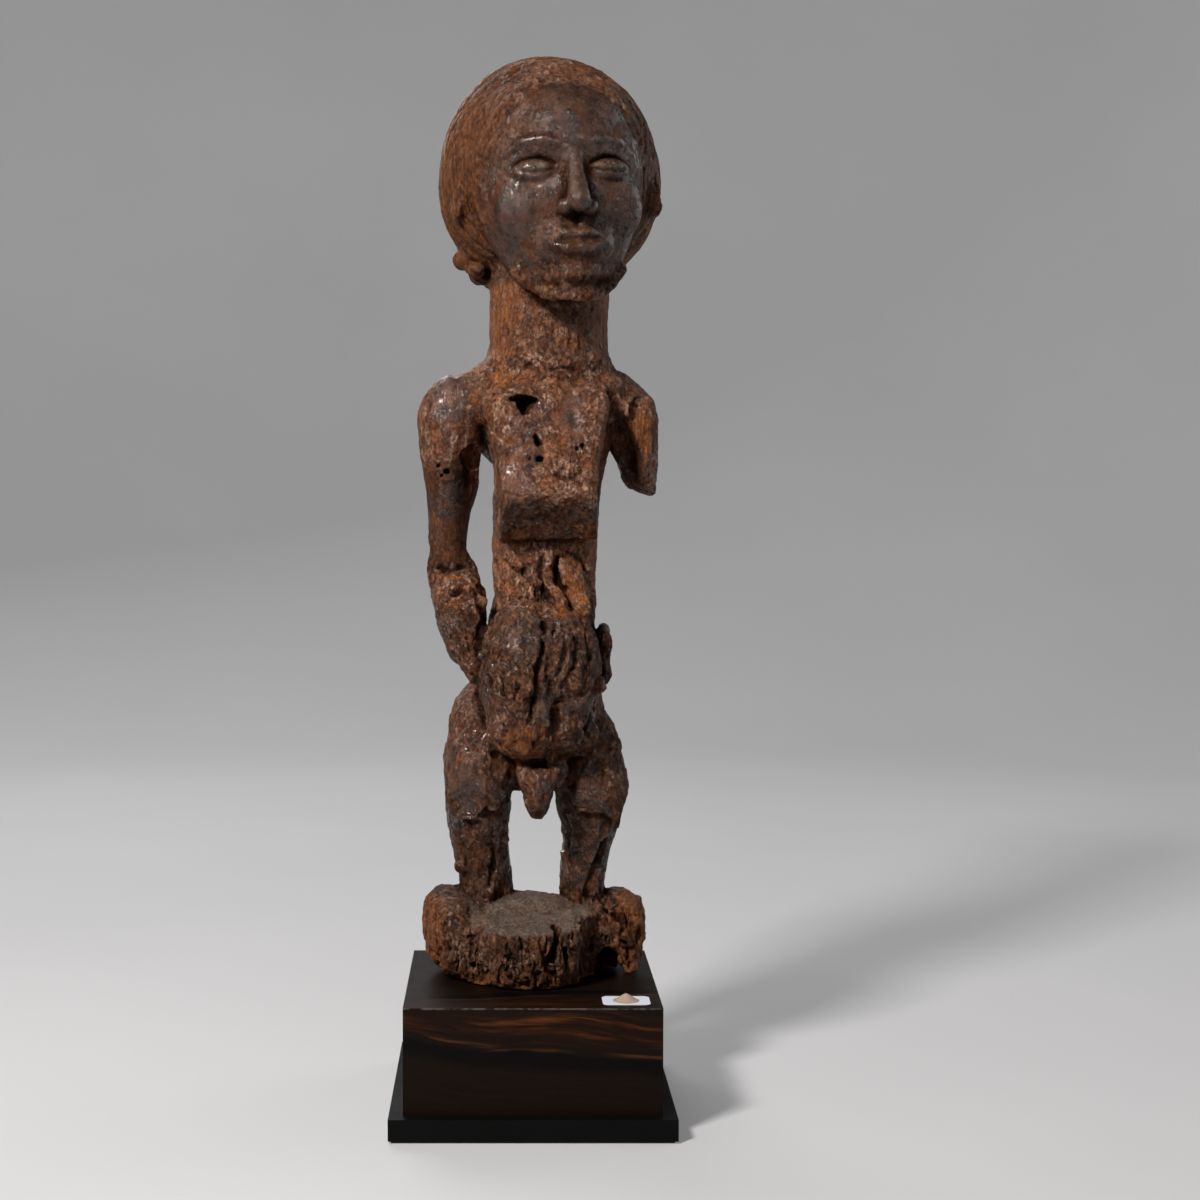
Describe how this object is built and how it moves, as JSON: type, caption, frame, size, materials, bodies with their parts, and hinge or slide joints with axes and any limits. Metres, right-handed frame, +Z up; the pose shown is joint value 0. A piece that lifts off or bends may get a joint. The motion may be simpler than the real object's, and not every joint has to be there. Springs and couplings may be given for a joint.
{
  "type": "carved ancestor figure on display plinth",
  "caption": "Weathered standing hardwood ancestor figure with a rounded coiffure, one arm broken, lifted on and off a two-tier veneered display plinth.",
  "frame": {"origin": "middle of the felt's underside, where the plinth stands on a shelf", "axes": "+Z up through the figure, -Y is the side the figure faces, +X is the figure's left-hand side"},
  "size_m": [0.18, 0.18, 0.6911],
  "materials": {
    "carved_wood": "old reddish-brown crusted patina, dark gloss on worn high spots, orange bare wood at breaks, grey dust on the foot",
    "ebony_veneer": "satin varnished dark striped ebony veneer with orange-brown bands",
    "core_wood": "plain unfinished block wood, hidden under the veneer",
    "black_lacquer": "black satin lacquer on wood",
    "felt": "dark felt",
    "steel": "plain bright steel",
    "card": "blank white card, matt",
    "wax": "tan wax, dull"
  },
  "bodies": {
    "plinth": {"felt_sheet": "felt", "base_plate": "black_lacquer", "plinth_core": "core_wood", "veneer_top": "ebony_veneer", "veneer_front": "ebony_veneer", "veneer_back": "ebony_veneer", "veneer_left": "ebony_veneer", "veneer_right": "ebony_veneer", "inventory_card": "card", "wax_dab": "wax", "plate_screw_1": "steel", "plate_screw_2": "steel", "plate_screw_3": "steel", "plate_screw_4": "steel", "mount_pin_right": "steel", "pin_washer_right": "steel", "pin_nut_right": "steel", "mount_pin_left": "steel", "pin_washer_left": "steel", "pin_nut_left": "steel"},
    "figure": {"carved_figure": "carved_wood"}
  },
  "joints": [
    {"name": "figure_lift", "type": "slide", "parent": "plinth", "child": "figure", "axis": [0, 0, 1], "range_m": [0, 0.06]}
  ]
}
